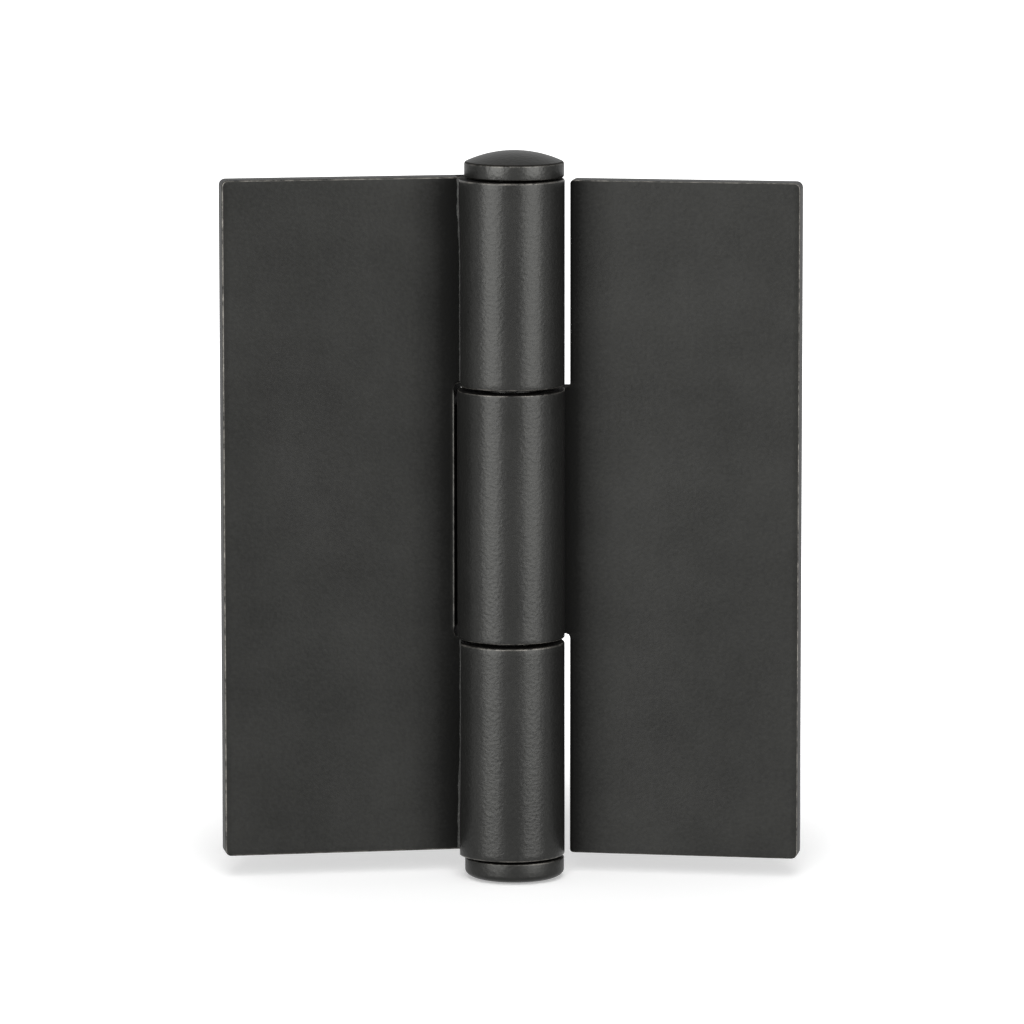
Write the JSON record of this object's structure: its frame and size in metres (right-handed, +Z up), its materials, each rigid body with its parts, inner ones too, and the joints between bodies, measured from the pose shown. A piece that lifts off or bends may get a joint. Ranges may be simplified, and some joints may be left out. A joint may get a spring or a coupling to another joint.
{
  "type": "weld-on hinge",
  "caption": "Blank-leaf steel butt hinge made to be welded on: rolled, interleaved knuckles swing on a domed-head pin closed below by a button tip.",
  "frame": {"origin": "on the pin axis at the middle of the leaf height", "axes": "+Z up the pin towards its domed head, +Y towards the backs of the leaves (the weld side), +X towards the leaf with the middle knuckle"},
  "size_m": [0.065, 0.012, 0.0821],
  "materials": {
    "leaf_steel": "dark oiled mill finish, satin, edges worn lighter",
    "pin_steel": "dark oiled finish, satin, rims worn lighter"
  },
  "bodies": {
    "fixed_leaf": {"left_leaf": "leaf_steel", "hinge_pin": "pin_steel", "bottom_tip": "pin_steel"},
    "swing_leaf": {"right_leaf": "leaf_steel"}
  },
  "joints": [
    {"name": "leaf_swing", "type": "hinge", "parent": "fixed_leaf", "child": "swing_leaf", "pos_m": [0, 0, 0], "axis": [0, 0, 1], "range_deg": [-171.5, 91]}
  ]
}
